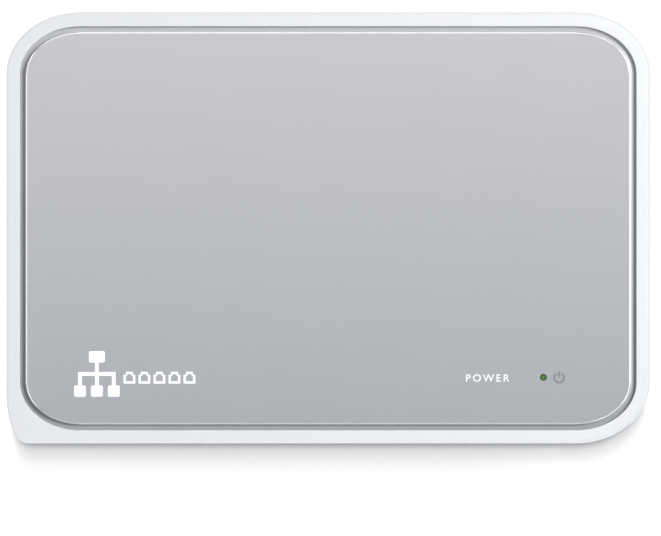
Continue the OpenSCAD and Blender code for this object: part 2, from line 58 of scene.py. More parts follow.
# Casing, in millimetres
CORNER = Vector((12.1, 10.1))       # half axes of a soft corner
INLET_SIDE_R = 16.7                 # bend of the side wall beside the power inlet
INLET_SIDE_START = 8.0
INLET_TIP_R = 3.0
WALL = 1.8
DRAFT = 0.2
TOP_EDGE_R = 0.5
BOTTOM_EDGE_R = 2.5
LINE_EDGE = 0.15                    # small edge along the joint line
RIM_W = 2.45
GROOVE_W = 0.9
GROOVE_DEPTH = 0.8
GROOVE_ROOT = 0.3                   # hollow at the foot of the raised field
PANEL_T = 0.8                       # panel's thickness under the groove
CHAMFER_W = 0.24                    # bright cut edge round the panel's raised field
CHAMFER_TILT = 32.0
TIP_R = 0.5                         # visible end of the light pipe
LIP_GAP = 0.15
LIP_T = 1.0
LIP_H = 1.5
REVEAL = 0.15
DECK_T = 1.4
FLOOR_T = 1.8
SKIN = 0.02                         # room for prints inside the CAD box
HOLD = 0.03                         # narrow strips that keep the shading of flat faces flat
OVERLAP = 0.05                      # how far joined shapes run into each other
CLEAR = 1.0                         # how far cutters run past what they cut
WELD = 0.002                        # points nearer than this become one
SMOOTH = 24                         # steps in a quarter turn of an outline


def mm_box(node):
    """A CAD node's low and high corners, in millimetres."""
    return [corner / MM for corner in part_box(node)]


# Driving places, read from the frame
shell_hi = mm_box("top_shell")[1]
base_lo, base_hi = mm_box("bottom_shell")
panel_lo, panel_hi = mm_box("top_panel")
block_lo, block_hi = mm_box("jack_housing")
inlet_lo, inlet_hi = mm_box("dc_jack_housing")
pipe_lo, pipe_hi = mm_box("power_light_pipe")

half_w = shell_hi.x - SKIN
half_d = shell_hi.y - SKIN
rim_z = shell_hi.z
top_z = panel_hi.z
parting_z = base_hi.z - LIP_H
base_z = base_lo.z
floor_z = base_z + FLOOR_T
groove_z = top_z - GROOVE_DEPTH
panel_z = groove_z - PANEL_T
deck_z = panel_z - DECK_T
light_at = (pipe_lo + pipe_hi) / 2
panel_shift = (panel_lo.y + panel_hi.y) / 2


# ------------------------------------------------------------------ outlines

def arc(cx, cy, rx, ry, start, end, steps, first=0):
    """Points along an elliptical arc, angles in degrees; first=1 leaves out a shared first point."""
    points = []
    for i in range(first, steps + 1):
        a = math.radians(start + (end - start) * i / steps)
        points.append((cx + rx * math.cos(a), cy + ry * math.sin(a)))
    return points


def soft_corner(side_x, side_y, start, inset):
    centre_x = side_x * (half_w - CORNER.x)
    centre_y = side_y * (half_d - CORNER.y)
    return arc(centre_x, centre_y, CORNER.x - inset, CORNER.y - inset, start, start + 90, SMOOTH)


def inlet_corner(inset):
    """The squarer corner beside the power inlet: a gentle bend, then a tight tip."""
    tip_r = max(INLET_TIP_R - inset, 0.4)
    side_r = INLET_SIDE_R - inset
    side_x = -half_w + INLET_SIDE_R
    side_y = -half_d + INLET_SIDE_START
    rise = INLET_SIDE_START - inset - tip_r
    reach = side_r - tip_r
    turn = math.degrees(math.asin(rise / reach))
    tip_x = side_x - reach * math.cos(math.radians(turn))
    tip_y = side_y - rise
    third = SMOOTH // 3
    bend = arc(side_x, side_y, side_r, side_r, 180, 180 + turn, third)
    tip = arc(tip_x, tip_y, tip_r, tip_r, 180 + turn, 270, SMOOTH - third, first=1)
    return bend + tip


def body_outline(inset):
    front_left = inlet_corner(inset)
    return (soft_corner(1, 1, 0, inset) + soft_corner(-1, 1, 90, inset)
            + front_left + soft_corner(1, -1, 270, inset))


def panel_outline(inset):
    corners = (soft_corner(1, 1, 0, inset) + soft_corner(-1, 1, 90, inset)
               + soft_corner(-1, -1, 180, inset) + soft_corner(1, -1, 270, inset))
    return [(x, y + panel_shift) for x, y in corners]


def circle(cx, cy, r, steps=48):
    return arc(cx, cy, r, r, 0, 360, steps)[:-1]


def rectangle(lo, hi):
    return [(lo[0], lo[1]), (hi[0], lo[1]), (hi[0], hi[1]), (lo[0], hi[1])]


def round_box(cx, cy, w, h, r, steps=5):
    """A rectangle with round corners, centred on cx, cy."""
    x = w / 2 - r
    y = h / 2 - r
    return (arc(cx + x, cy + y, r, r, 0, 90, steps) + arc(cx - x, cy + y, r, r, 90, 180, steps)
            + arc(cx - x, cy - y, r, r, 180, 270, steps) + arc(cx + x, cy - y, r, r, 270, 360, steps))


def slot_outline(cx, cy, w, length):
    """A slot with round ends along Y."""
    r = w / 2
    y = length / 2 - r
    return arc(cx, cy + y, r, r, 0, 180, 12) + arc(cx, cy - y, r, r, 180, 360, 12)


def fillet(r, steps, turn=90):
    """(across, along) pairs on a quarter round, from its start to its end."""
    angles = [math.radians(turn * i / steps) for i in range(steps + 1)]
    return [(r * (1 - math.cos(a)), r * math.sin(a)) for a in angles]


# ------------------------------------------------------------------ meshes

def add_ring(bm, outline, z):
    return [bm.verts.new((x * MM, y * MM, z * MM)) for x, y in outline]


def skin(bm, loops, following):
    """Joins each loop of points to the one that follows it with a ring of four-sided faces."""
    for low, high in zip(loops, following):
        for i, corner in enumerate(low):
            j = (i + 1) % len(low)
            bm.faces.new((corner, low[j], high[j], high[i]))


def add_loft(bm, rings):
    """Skins a list of (outline, z) rings of equal length and caps both ends."""
    loops = [add_ring(bm, outline, z) for outline, z in rings]
    skin(bm, loops, loops[1:])
    bm.faces.new(list(reversed(loops[0])))
    bm.faces.new(loops[-1])


def add_prism(bm, outline, z0, z1):
    add_loft(bm, [(outline, z0), (outline, z1)])


def add_band(bm, outer, inner, z0, z1):
    """A band between two outlines of equal length, open in the middle."""
    rings = [(outer, z0), (outer, z1), (inner, z1), (inner, z0)]
    loops = [add_ring(bm, outline, z) for outline, z in rings]
    skin(bm, loops, loops[1:] + loops[:1])


def add_tube(bm, cx, cy, outer, inner, z0, z1):
    """A collar with a round through hole."""
    add_band(bm, circle(cx, cy, outer), circle(cx, cy, inner), z0, z1)


def add_box(bm, lo, hi):
    add_prism(bm, rectangle(lo, hi), lo[2], hi[2])


def finish_mesh(bm, name):
    bmesh.ops.recalc_face_normals(bm, faces=bm.faces)
    mesh = bpy.data.meshes.new(name)
    bm.to_mesh(mesh)
    bm.free()
    obj = bpy.data.objects.new(name, mesh)
    bpy.context.scene.collection.objects.link(obj)
    return obj


def bake(obj):
    """Applies obj's modifiers to its mesh."""
    bpy.context.view_layer.update()
    depsgraph = bpy.context.evaluated_depsgraph_get()
    mesh = bpy.data.meshes.new_from_object(obj.evaluated_get(depsgraph))
    obj.modifiers.clear()
    obj.data = mesh


def combine(obj, other, operation="DIFFERENCE"):
    """Cuts other out of obj, or adds it with UNION, and removes other."""
    mod = obj.modifiers.new("combine", "BOOLEAN")
    mod.operation = operation
    mod.solver = "EXACT"
    mod.use_self = True
    mod.object = other
    bake(obj)
    bpy.data.objects.remove(other)


def weld_points(obj):
    """Adds a modifier that joins points lying in the same place."""
    weld = obj.modifiers.new("weld", "WELD")
    weld.merge_threshold = WELD * MM


def soften(obj, width, segments=3, angle=38):
    """Rounds sharp edges by width millimetres and shades the rest smoothly."""
    mod = obj.modifiers.new("edge", "BEVEL")
    mod.width = width * MM
    mod.segments = segments
    mod.limit_method = "ANGLE"
    mod.angle_limit = math.radians(angle)
    mod.miter_outer = "MITER_ARC"
    mod.use_clamp_overlap = True
    weld_points(obj)
    bake(obj)
    obj.data.shade_smooth()
    obj.data.set_sharp_from_angle(angle=math.radians(angle))
    normals = obj.modifiers.new("normals", "WEIGHTED_NORMAL")
    normals.keep_sharp = True
    normals.weight = 100


# ------------------------------------------------------------------ materials

class Nodes:
    """A small helper around one material's node tree."""

    def __init__(self, name):
        self.material = bpy.data.materials.new(name)
        self.material.use_nodes = True
        self.tree = self.material.node_tree
        self.shader = self.tree.nodes["Principled BSDF"]
        self.place = self.add("ShaderNodeTexCoord").outputs["Object"]

    def add(self, kind, **settings):
        node = self.tree.nodes.new(kind)
        for key, value in settings.items():
            setattr(node, key, value)
        return node

    def link(self, source, target):
        self.tree.links.new(source, target)

    def noise(self, scale, detail=3.0, roughness=0.55):
        node = self.add("ShaderNodeTexNoise")
        node.inputs["Scale"].default_value = scale
        node.inputs["Detail"].default_value = detail
        node.inputs["Roughness"].default_value = roughness
        self.link(self.place, node.inputs["Vector"])
        return node.outputs["Fac"]

    def spread(self, value, low, high):
        """Maps 0..1 to low..high."""
        node = self.add("ShaderNodeMapRange")
        node.inputs["To Min"].default_value = low
        node.inputs["To Max"].default_value = high
        self.link(value, node.inputs["Value"])
        return node.outputs["Result"]

    def mix(self, factor, first, second):
        """Blends two colours; each is a colour value or a socket."""
        node = self.add("ShaderNodeMix", data_type="RGBA")
        self.link(factor, node.inputs["Factor"])
        for socket, value in ((node.inputs["A"], first), (node.inputs["B"], second)):
            if isinstance(value, bpy.types.NodeSocket):
                self.link(value, socket)
            else:
                socket.default_value = (*value, 1.0)
        return node.outputs["Result"]

    def bump(self, height, strength, distance):
        node = self.add("ShaderNodeBump")
        node.inputs["Strength"].default_value = strength
        node.inputs["Distance"].default_value = distance * MM
        self.link(height, node.inputs["Height"])
        self.link(node.outputs["Normal"], self.shader.inputs["Normal"])

    def set(self, name, value):
        socket = self.shader.inputs[name]
        if isinstance(value, bpy.types.NodeSocket):
            self.link(value, socket)
        else:
            socket.default_value = value


def shade(colour, factor):
    return tuple(min(c * factor, 1.0) for c in colour)


def moulded(name, colour, roughness, grain=0.25, mottle=0.04, scale=2600, metallic=0.0):
    """Moulded or painted stuff: fine grain, slow mottling of colour and gloss."""
    n = Nodes(name)
    slow = n.noise(70, detail=4)
    fine = n.noise(scale, detail=2)
    n.set("Base Color", n.mix(slow, shade(colour, 1 - mottle), shade(colour, 1 + mottle)))
    n.set("Roughness", n.spread(slow, roughness * 0.88, roughness * 1.12))
    n.set("Metallic", metallic)
    n.bump(fine, grain, 0.03)
    return n


def white_plastic():
    n = moulded("white_plastic", (0.665, 0.675, 0.695), 0.34, grain=0.12, mottle=0.01)
    n.set("IOR", 1.5)
    n.set("Coat Weight", 0.15)
    n.set("Coat Roughness", 0.18)
    return n.material


def panel_plastic():
    """Satin grey with a painted sheen: its base colour is lighter at the back edge and falls off slowly
    towards the socket edge, standing in for light.
    """
    n = Nodes("grey_panel")
    split = n.add("ShaderNodeSeparateXYZ")
    n.link(n.place, split.inputs["Vector"])
    along = n.add("ShaderNodeMapRange")
    along.inputs["From Min"].default_value = -half_d * MM
    along.inputs["From Max"].default_value = half_d * MM
    n.link(split.outputs["Y"], along.inputs["Value"])
    # painted sheen: this ramp makes the base colour darker at the socket edge and lighter at the back edge
    ramp = n.add("ShaderNodeValToRGB")
    ramp.color_ramp.elements[0].color = (0.270, 0.281, 0.300, 1)
    ramp.color_ramp.elements[1].color = (0.397, 0.400, 0.424, 1)
    n.link(along.outputs["Result"], ramp.inputs["Fac"])
    fleck = n.noise(5200, detail=1)
    n.set("Base Color", n.mix(n.spread(fleck, 0.0, 0.06), ramp.outputs["Color"], (0.7, 0.7, 0.72)))
    n.set("Roughness", n.spread(n.noise(90, detail=4), 0.38, 0.46))
    n.set("Metallic", 0.15)
    n.bump(fleck, 0.10, 0.02)
    return n.material


def tinted_lens():
    """Frosted green resin that lets some light in; a painted glow makes its colour paler where it is looked
    at square on.
    """
    n = Nodes("led_lens")
    facing = n.add("ShaderNodeLayerWeight")
    facing.inputs["Blend"].default_value = 0.35
    # painted glow: paler green where the lens faces the camera, darker towards grazing views
    n.set("Base Color", n.mix(facing.outputs["Facing"], (0.20, 0.46, 0.18), (0.05, 0.18, 0.06)))
    n.set("Roughness", n.spread(n.noise(70, detail=4), 0.194, 0.246))
    n.set("Transmission Weight", 0.45)
    n.bump(n.noise(900, detail=2), 0.08, 0.03)
    return n.material


def light_pipe():
    """Clear rod whose tip has a painted glow: its colour is brighter in the middle than at its edge."""
    n = Nodes("clear_pipe")
    centre = n.add("ShaderNodeCombineXYZ")
    centre.inputs["X"].default_value = light_at.x * MM
    centre.inputs["Y"].default_value = light_at.y * MM
    split = n.add("ShaderNodeSeparateXYZ")
    n.link(n.place, split.inputs["Vector"])
    flat = n.add("ShaderNodeCombineXYZ")
    n.link(split.outputs["X"], flat.inputs["X"])
    n.link(split.outputs["Y"], flat.inputs["Y"])
    apart = n.add("ShaderNodeVectorMath", operation="DISTANCE")
    n.link(centre.outputs["Vector"], apart.inputs[0])
    n.link(flat.outputs["Vector"], apart.inputs[1])
    # painted glow: the tip's colour is bright green in the middle and dark at the edge
    ramp = n.add("ShaderNodeValToRGB")
    ramp.color_ramp.elements[0].color = (0.10, 0.19, 0.04, 1)
    ramp.color_ramp.elements[1].color = (0.02, 0.07, 0.01, 1)
    reach = n.add("ShaderNodeMapRange")
    reach.inputs["From Max"].default_value = TIP_R * MM
    n.link(apart.outputs["Value"], reach.inputs["Value"])
    n.link(reach.outputs["Result"], ramp.inputs["Fac"])
    tip = n.add("ShaderNodeMath", operation="GREATER_THAN")
    tip.inputs[1].default_value = groove_z * MM
    n.link(split.outputs["Z"], tip.inputs[0])
    n.set("Base Color", n.mix(tip.outputs["Value"], (0.86, 0.90, 0.87), ramp.outputs["Color"]))
    n.set("Transmission Weight", n.spread(tip.outputs["Value"], 0.85, 0.0))
    n.set("Roughness", n.spread(n.noise(900), 0.12, 0.2))
    return n.material


def metal(name, colour, roughness, brushed=1.0, metallic=1.0):
    """Plated metal with faint drawn streaks along Z."""
    n = Nodes(name)
    stretch = n.add("ShaderNodeMapping")
    stretch.inputs["Scale"].default_value = (1.0, 1.0, 1.0 - 0.9 * brushed)
    n.link(n.place, stretch.inputs["Vector"])
    streak = n.add("ShaderNodeTexNoise")
    streak.inputs["Scale"].default_value = 4000
    n.link(stretch.outputs["Vector"], streak.inputs["Vector"])
    tone = n.noise(600)
    n.set("Base Color", n.mix(tone, shade(colour, 0.85), shade(colour, 1.1)))
    n.set("Metallic", metallic)
    n.set("Roughness", n.spread(streak.outputs["Fac"], roughness * 0.7, roughness * 1.4))
    n.bump(streak.outputs["Fac"], 0.1, 0.02)
    return n.material


def track_lines(n, turn):
    """Long parallel board tracks that run along X, turned about Z by an angle in degrees."""
    turned = n.add("ShaderNodeMapping")
    turned.inputs["Rotation"].default_value = (0.0, 0.0, math.radians(turn))
    n.link(n.place, turned.inputs["Vector"])
    tracks = n.add("ShaderNodeTexBrick", offset=0.37, squash=1.0)
    settings = {"Scale": 1000, "Brick Width": 9.0, "Row Height": 0.8, "Mortar Size": 0.16}
    for name, value in settings.items():
        tracks.inputs[name].default_value = value
    for name, grey in (("Color1", 0.0), ("Color2", 0.0), ("Mortar", 1.0)):
        tracks.inputs[name].default_value = (grey, grey, grey, 1)
    n.link(turned.outputs["Vector"], tracks.inputs["Vector"])
    return tracks.outputs["Color"]


def circuit_laminate():
    """Green solder mask over bundles of tracks that change direction, with small tinned holes."""
    n = Nodes("board_laminate")
    patches = n.add("ShaderNodeTexVoronoi", distance="CHEBYCHEV")
    patches.inputs["Scale"].default_value = 110
    n.link(n.place, patches.inputs["Vector"])
    split = n.add("ShaderNodeSeparateColor")
    n.link(patches.outputs["Color"], split.inputs["Color"])
    across = n.add("ShaderNodeMath", operation="GREATER_THAN")
    n.link(split.outputs["Red"], across.inputs[0])
    tracks = n.mix(across.outputs["Value"], track_lines(n, 0), track_lines(n, 90))
    holes = n.add("ShaderNodeTexVoronoi")
    holes.inputs["Scale"].default_value = 260
    n.link(n.place, holes.inputs["Vector"])
    tinned = n.add("ShaderNodeMath", operation="LESS_THAN")
    tinned.inputs[1].default_value = 0.11
    n.link(holes.outputs["Distance"], tinned.inputs[0])
    mask = n.mix(tracks, (0.010, 0.10, 0.040), (0.025, 0.19, 0.075))
    n.set("Base Color", n.mix(tinned.outputs["Value"], mask, (0.55, 0.50, 0.40)))
    n.set("Metallic", tinned.outputs["Value"])
    n.set("Roughness", n.spread(n.noise(500), 0.25, 0.4))
    n.bump(tracks, 0.3, 0.04)
    return n.material


def winding_copper():
    """Enamelled wire: narrow rounds stacked along Z, with painted shade between the turns and a painted
    highlight on each round.
    """
    n = Nodes("copper_wire")
    waves = n.add("ShaderNodeTexWave", bands_direction="Z")
    waves.inputs["Scale"].default_value = 900
    n.link(n.place, waves.inputs["Vector"])
    # painted shade and highlight: the colour is dark between the turns and bright on each round
    n.set("Base Color", n.mix(waves.outputs["Fac"], (0.25, 0.08, 0.02), (0.72, 0.33, 0.14)))
    n.set("Metallic", 0.8)
    n.set("Roughness", n.spread(n.noise(900), 0.25, 0.4))
    n.bump(waves.outputs["Fac"], 0.6, 0.1)
    return n.material


def make_materials():
    return {
        "white_plastic": white_plastic(),
        "grey_panel": panel_plastic(),
        "cut_edge": moulded("cut_edge", (0.80, 0.81, 0.83), 0.24, 0.05, 0.02, 3000, 0.85).material,
        "clear_pipe": light_pipe(),
        "label_film": moulded("label_film", (0.58, 0.59, 0.61), 0.3, grain=0.06, scale=900).material,
        "foot_rubber": moulded("foot_rubber", (0.028, 0.028, 0.030), 0.75, 0.6, 0.15, 1400).material,
        "steel": metal("steel", (0.62, 0.62, 0.64), 0.28),
        "board_laminate": circuit_laminate(),
        "black_nylon": moulded("black_nylon", (0.018, 0.018, 0.02), 0.42, 0.35, 0.12, 1800).material,
        "gold_wire": metal("gold_wire", (0.95, 0.70, 0.32), 0.38, brushed=0.3, metallic=0.75),
        "led_lens": tinted_lens(),
        "chip_epoxy": moulded("chip_epoxy", (0.022, 0.022, 0.024), 0.55, 0.5, 0.15, 2200).material,
        "tinned_lead": metal("tinned_lead", (0.72, 0.72, 0.73), 0.32),
        "capacitor_can": moulded("capacitor_can", (0.02, 0.035, 0.09), 0.3, 0.1, 0.1).material,
        "ferrite": moulded("ferrite", (0.04, 0.04, 0.045), 0.6, 0.6, 0.15, 1200).material,
        "copper_wire": winding_copper(),
        "resistor_film": moulded("resistor_film", (0.02, 0.02, 0.022), 0.3, 0.2, 0.1).material,
        "capacitor_ceramic": moulded("capacitor_ceramic", (0.40, 0.27, 0.14), 0.5, 0.3, 0.1).material,
        "white_ink": moulded("white_ink", (0.70, 0.70, 0.70), 0.5, 0.1, 0.01).material,
        "grey_ink": moulded("grey_ink", (0.16, 0.165, 0.175), 0.5, 0.1, 0.02).material,
        "pale_ink": moulded("pale_ink", (0.36, 0.37, 0.38), 0.5, 0.1, 0.02).material,
    }


materials = make_materials()


def dress(obj, slot, material=None):
    """Gives a piece its material, looked up by material name or else by slot, and hangs it on the root
    body.
    """
    obj.data.materials.clear()
    obj.data.materials.append(materials[material or slot])
    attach(obj, BODY)


# ------------------------------------------------------------------ casing

WINDOW_GAP = 0.25


def add_front_windows(bm):
    """Cutters for the socket block's and the power inlet's openings."""
    depth = WALL + LIP_GAP + LIP_T
    for lo, hi in ((block_lo, block_hi), (inlet_lo, inlet_hi)):
        low = (lo.x - WINDOW_GAP, -half_d - CLEAR, lo.z - WINDOW_GAP)
        high = (hi.x + WINDOW_GAP, -half_d + depth + CLEAR, hi.z + WINDOW_GAP)
        add_box(bm, low, high)


def centres(node):
    """Plan centres, in millimetres, of a node's separate solids mirrored in X: (-x, y) and (x, y)."""
    lo, hi = mm_box(node)
    r = (hi.y - lo.y) / 2
    x = hi.x - r
    y = (lo.y + hi.y) / 2
    return [(-x, y), (x, y)]


REAR_VENTS = 11
REAR_VENT_PITCH = 4.5
REAR_VENT_Z = (11.0, 16.0)
VENT_W = 1.6
CASE_BOSS_R = 3.0
CASE_HOLE_R = 1.25
SLEEVE_R = 2.1
SLEEVE_Z = 12.0
PIPE_HOLE_R = 1.25
TIP_HOLE_R = TIP_R + 0.05
PEG_R = 1.0
PEG_GAP = 0.15
PEG_HEAD_R = 1.8
PEG_HEAD_H = 0.6
PEGS = [(x, y) for x in (-43, 43) for y in (-25, 25)] + [(0, 25), (0, -12)]
CASE_SEAT_H = 0.8
case_seat_z = floor_z + CASE_SEAT_H


def top_shell_rings():
    lower = parting_z + REVEAL
    rings = [(body_outline(WALL), deck_z), (body_outline(WALL), lower)]
    rings += [(body_outline(LINE_EDGE - a), lower + b) for a, b in fillet(LINE_EDGE, 3)]
    for a, b in fillet(TOP_EDGE_R, 8):
        rings.append((body_outline(DRAFT + a), rim_z - TOP_EDGE_R + b))
    inner_edge = 0.15
    for a, b in reversed(fillet(inner_edge, 4)):
        rings.append((panel_outline(RIM_W - a), rim_z - inner_edge + b))
    rings.append((panel_outline(RIM_W), panel_z))
    return rings


def make_top_shell():
    bm = bmesh.new()
    add_loft(bm, top_shell_rings())
    shell = finish_mesh(bm, "top_shell_looks")
    bm = bmesh.new()
    add_front_windows(bm)
    for i in range(REAR_VENTS):
        x = (i - (REAR_VENTS - 1) / 2) * REAR_VENT_PITCH
        low = (x - VENT_W / 2, half_d - WALL - CLEAR, REAR_VENT_Z[0])
        add_box(bm, low, (x + VENT_W / 2, half_d + CLEAR, REAR_VENT_Z[1]))
    add_prism(bm, circle(light_at.x, light_at.y, PIPE_HOLE_R), deck_z - CLEAR, panel_z + CLEAR)
    for x, y in PEGS:
        add_prism(bm, circle(x, y, PEG_R + PEG_GAP), deck_z - CLEAR, panel_z + CLEAR)
    combine(shell, finish_mesh(bm, "cutter"))
    bm = bmesh.new()
    for x, y in centres("case_screws"):
        add_tube(bm, x, y, CASE_BOSS_R, CASE_HOLE_R, case_seat_z, deck_z + OVERLAP)
    add_tube(bm, light_at.x, light_at.y, SLEEVE_R, PIPE_HOLE_R, SLEEVE_Z, deck_z + OVERLAP)
    combine(shell, finish_mesh(bm, "bosses"), "UNION")
    soften(shell, 0.12)
    dress(shell, "white_plastic")
    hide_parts("top_shell")


KEYHOLE_X = 28.0
KEYHOLE_Y = 21.5
KEYHOLE_R = 3.6
KEYHOLE_SLOT_R = 2.0
KEYHOLE_TRAVEL = 6.0
FLOOR_VENTS = 4
FLOOR_VENT_X = 28.0
FLOOR_VENT_Y = -4.0
FLOOR_VENT_PITCH = 3.5
FLOOR_VENT_LEN = 18.0
FOOT_GAP = 0.2
CASE_HEAD_R = 2.7                   # recess for a case screw's head
CASE_HEAD_DEPTH = 1.4
CASE_CLEAR_R = 1.5
CASE_SEAT_R = 3.8
BOARD_BOSS_R = 3.0
BOARD_HOLE_R = 1.05
BOARD_PAD_R = 2.0
BOARD_PADS = ((-30, -24), (30, -24))
LABEL_GAP = 0.3
LABEL_DEPTH = 0.3
LABEL_CORNER_R = 0.8


def keyhole_outline(cx, cy):
    """A round entry hole that runs into a narrower slot towards +Y."""
    gap = math.degrees(math.asin(KEYHOLE_SLOT_R / KEYHOLE_R))
    entry = arc(cx, cy, KEYHOLE_R, KEYHOLE_R, 90 + gap, 450 - gap, 36)
    end = arc(cx, cy + KEYHOLE_TRAVEL, KEYHOLE_SLOT_R, KEYHOLE_SLOT_R, 0, 180, 16)
    return entry + end


def bottom_shell_rings():
    rings = []
    for a, b in fillet(BOTTOM_EDGE_R, 12):
        # a quarter round that starts flat under the base and ends upright
        rings.append((body_outline(BOTTOM_EDGE_R - b), base_z + a))
    for a, b in fillet(LINE_EDGE, 3):
        rings.append((body_outline(a), parting_z - LINE_EDGE + b))
    outer = WALL + LIP_GAP
    inner = outer + LIP_T
    rings += [
        (body_outline(outer), parting_z), (body_outline(outer), parting_z + LIP_H),
        (body_outline(inner), parting_z + LIP_H), (body_outline(inner), parting_z - WALL),
        (body_outline(WALL), parting_z - WALL), (body_outline(WALL), floor_z),
    ]
    return rings


def label_recess_outline():
    lo, hi = mm_box("rating_label")
    centre = (lo + hi) / 2
    size = hi - lo
    return round_box(centre.x, centre.y, size.x + 2 * LABEL_GAP, size.y + 2 * LABEL_GAP, LABEL_CORNER_R)


def make_bottom_shell():
    bm = bmesh.new()
    add_loft(bm, bottom_shell_rings())
    shell = finish_mesh(bm, "bottom_shell_looks")
    bm = bmesh.new()
    add_front_windows(bm)
    for foot in FEET:
        lo, hi = mm_box(foot)
        centre = (lo + hi) / 2
        add_prism(bm, circle(centre.x, centre.y, (hi.x - lo.x) / 2 + FOOT_GAP), base_z - CLEAR, hi.z)
    head_z = base_z + CASE_HEAD_DEPTH
    for x, y in centres("case_screws"):
        add_prism(bm, circle(x, y, CASE_HEAD_R), base_z - CLEAR, head_z)
        add_prism(bm, circle(x, y, CASE_CLEAR_R), head_z, floor_z + CLEAR)
    for side in (-1, 1):
        add_prism(bm, keyhole_outline(side * KEYHOLE_X, KEYHOLE_Y), base_z - CLEAR, floor_z + CLEAR)
        for i in range(FLOOR_VENTS):
            x = side * (FLOOR_VENT_X + i * FLOOR_VENT_PITCH)
            slot = slot_outline(x, FLOOR_VENT_Y, VENT_W, FLOOR_VENT_LEN)
            add_prism(bm, slot, base_z - CLEAR, floor_z + CLEAR)
    add_prism(bm, label_recess_outline(), base_z - CLEAR, base_z + LABEL_DEPTH)
    combine(shell, finish_mesh(bm, "cutter"))
    bm = bmesh.new()
    board_z = mm_box("circuit_board")[0].z
    for x, y in centres("case_screws"):
        add_tube(bm, x, y, CASE_SEAT_R, CASE_CLEAR_R, floor_z - OVERLAP, case_seat_z)
    for x, y in centres("board_screws"):
        add_tube(bm, x, y, BOARD_BOSS_R, BOARD_HOLE_R, floor_z - OVERLAP, board_z)
    for x, y in BOARD_PADS:
        add_prism(bm, circle(x, y, BOARD_PAD_R), floor_z - OVERLAP, board_z)
    combine(shell, finish_mesh(bm, "bosses"), "UNION")
    soften(shell, 0.12)
    dress(shell, "white_plastic")
    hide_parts("bottom_shell")


def panel_rings():
    """Flange, sunk groove floor, hollow root, wall, bright chamfer and flat field."""
    outer = RIM_W + 0.01
    field = RIM_W + GROOVE_W
    field_z = top_z - SKIN
    root = field - GROOVE_ROOT
    drop = CHAMFER_W * math.tan(math.radians(CHAMFER_TILT))
    rings = [
        (panel_outline(outer), panel_z), (panel_outline(outer), groove_z),
        (panel_outline(outer + HOLD), groove_z), (panel_outline(root - HOLD), groove_z),
    ]
    rings += [(panel_outline(root + b), groove_z + a) for a, b in fillet(GROOVE_ROOT, 6)]
    rings += [
        (panel_outline(field), field_z - drop - HOLD), (panel_outline(field), field_z - drop),
        (panel_outline(field + CHAMFER_W), field_z), (panel_outline(field + CHAMFER_W + HOLD), field_z),
    ]
    return rings


def make_panel():
    bm = bmesh.new()
    add_loft(bm, panel_rings())
    panel = finish_mesh(bm, "top_panel_looks")
    bm = bmesh.new()
    add_prism(bm, circle(light_at.x, light_at.y, TIP_HOLE_R), panel_z - CLEAR, top_z + CLEAR)
    combine(panel, finish_mesh(bm, "cutter"))
    bm = bmesh.new()
    for x, y in PEGS:
        add_prism(bm, circle(x, y, PEG_R), deck_z - 2 * OVERLAP, panel_z + OVERLAP)
    combine(panel, finish_mesh(bm, "pegs"), "UNION")
    bm = bmesh.new()
    for x, y in PEGS:
        add_prism(bm, circle(x, y, PEG_HEAD_R), deck_z - OVERLAP - PEG_HEAD_H, deck_z - OVERLAP)
    combine(panel, finish_mesh(bm, "peg_heads"), "UNION")
    soften(panel, HOLD / 2, segments=2, angle=25)
    dress(panel, "grey_panel")
    panel.data.materials.append(materials["cut_edge"])
    tilted = math.cos(math.radians(CHAMFER_TILT))
    for face in panel.data.polygons:
        face.material_index = int(abs(face.normal.z - tilted) < 0.05)
    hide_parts("top_panel")


# ------------------------------------------------------------------ prints

INK_T = 0.012
INK_Z = top_z - SKIN - 0.004


def add_print(bm, outline):
    add_prism(bm, outline, INK_Z, INK_Z + INK_T)


def finish_print(bm, name, ink, slot="grey_panel"):
    dress(finish_mesh(bm, name), slot, ink)


def make_network_mark(cx, cy, size):
    """A generic network sign: one box above a line with three boxes hanging from it."""
    box_w = size * 0.26
    top_w = box_w * 1.35
    box_h = size * 0.25
    line = size * 0.085
    corner_r = 0.25
    top_y = cy + size / 2 - box_h / 2
    low_y = cy - size / 2 + box_h / 2
    spread = size / 2 - box_w / 2
    drops = [cx + step * spread for step in (-1, 0, 1)]
    bm = bmesh.new()
    add_print(bm, round_box(cx, top_y, top_w, box_h, corner_r))
    for x in drops:
        add_print(bm, round_box(x, low_y, box_w, box_h, corner_r))
    mark = finish_mesh(bm, "network_sign")
    bm = bmesh.new()
    add_print(bm, rectangle((drops[0] - line / 2, cy - line / 2), (drops[2] + line / 2, cy + line / 2)))
    combine(mark, finish_mesh(bm, "bus"), "UNION")
    bm = bmesh.new()
    for x in drops:
        add_print(bm, rectangle((x - line / 2, low_y), (x + line / 2, top_y if x == cx else cy)))
    combine(mark, finish_mesh(bm, "drops"), "UNION")
    dress(mark, "grey_panel", "white_ink")


def make_socket_marks(cx, cy, count, pitch, size):
    """A row of small socket signs: each a square with its latch notch."""
    bm = bmesh.new()
    half = size / 2
    shoulder_y = cy + size / 4
    notch = size * 0.3
    open_share = 0.6
    for i in range(count):
        x = cx + (i - (count - 1) / 2) * pitch
        outer = [
            (x - half, cy - half), (x + half, cy - half), (x + half, shoulder_y), (x + notch, shoulder_y),
            (x + notch, cy + half), (x - notch, cy + half), (x - notch, shoulder_y), (x - half, shoulder_y),
        ]
        inner = [(x + (px - x) * open_share, cy + (py - cy) * open_share) for px, py in outer]
        add_band(bm, outer, inner, INK_Z, INK_Z + INK_T)
    finish_print(bm, "socket_signs", "white_ink")


def make_power_sign(cx, cy, r, line):
    """The usual on-off sign: a ring open at the top with a short bar in the gap."""
    gap = 32
    bm = bmesh.new()
    ring = (arc(cx, cy, r, r, 90 + gap, 450 - gap, 40)
            + arc(cx, cy, r - line, r - line, 450 - gap, 90 + gap, 40))
    add_print(bm, ring)
    add_print(bm, round_box(cx, cy + r * 0.55, line, r * 1.1, line * 0.45))
    finish_print(bm, "power_sign", "grey_ink")


